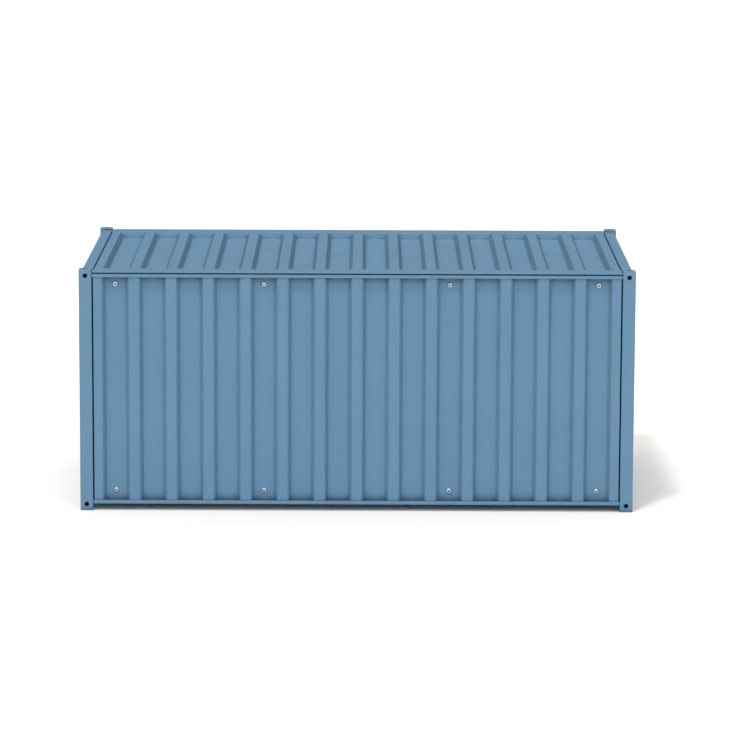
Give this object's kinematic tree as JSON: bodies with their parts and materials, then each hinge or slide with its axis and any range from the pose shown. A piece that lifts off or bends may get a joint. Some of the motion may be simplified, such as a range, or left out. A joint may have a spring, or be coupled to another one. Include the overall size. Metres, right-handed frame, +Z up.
{
  "type": "scale model shipping container",
  "caption": "Closed box-shaped freight container model in painted sheet steel, with corrugated sides, a ribbed roof, drilled corner blocks and two door leaves at one end.",
  "frame": {"origin": "middle of the rectangle under the four bottom corner blocks, on the surface the container stands on", "axes": "+X along the length towards the end with the door leaves, +Y from the pictured long side to the hidden one, +Z up"},
  "size_m": [0.606, 0.356, 0.267],
  "materials": {
    "powder_coat": "pastel blue powder coat, semi-matt, faint orange peel",
    "zinc_plate": "bright zinc plate, as on the screws of the side panels"
  },
  "bodies": {
    "root": {"corner_bottom_front_left": "powder_coat", "corner_bottom_front_right": "powder_coat", "corner_bottom_rear_left": "powder_coat", "corner_bottom_rear_right": "powder_coat", "corner_top_front_left": "powder_coat", "corner_top_front_right": "powder_coat", "corner_top_rear_left": "powder_coat", "corner_top_rear_right": "powder_coat", "post_front_left": "powder_coat", "post_front_right": "powder_coat", "post_rear_left": "powder_coat", "post_rear_right": "powder_coat", "top_rail_front": "powder_coat", "top_rail_rear": "powder_coat", "bottom_rail_front": "powder_coat", "bottom_rail_rear": "powder_coat", "header_left": "powder_coat", "header_right": "powder_coat", "sill_left": "powder_coat", "sill_right": "powder_coat", "side_panel_front": "powder_coat", "side_panel_rear": "powder_coat", "roof_panel": "powder_coat", "end_panel_left": "powder_coat", "floor_tray": "powder_coat", "door_front": "powder_coat", "door_rear": "powder_coat", "lock_rod_front_inner": "zinc_plate", "lock_rod_front_outer": "zinc_plate", "lock_rod_rear_inner": "zinc_plate", "lock_rod_rear_outer": "zinc_plate", "cam_keepers_top": "powder_coat", "cam_keepers_bottom": "powder_coat", "rod_guides_front": "powder_coat", "rod_guides_rear": "powder_coat", "door_handles_front": "zinc_plate", "door_handles_rear": "zinc_plate", "door_hinges_front": "powder_coat", "door_hinges_rear": "powder_coat"}
  },
  "joints": []
}
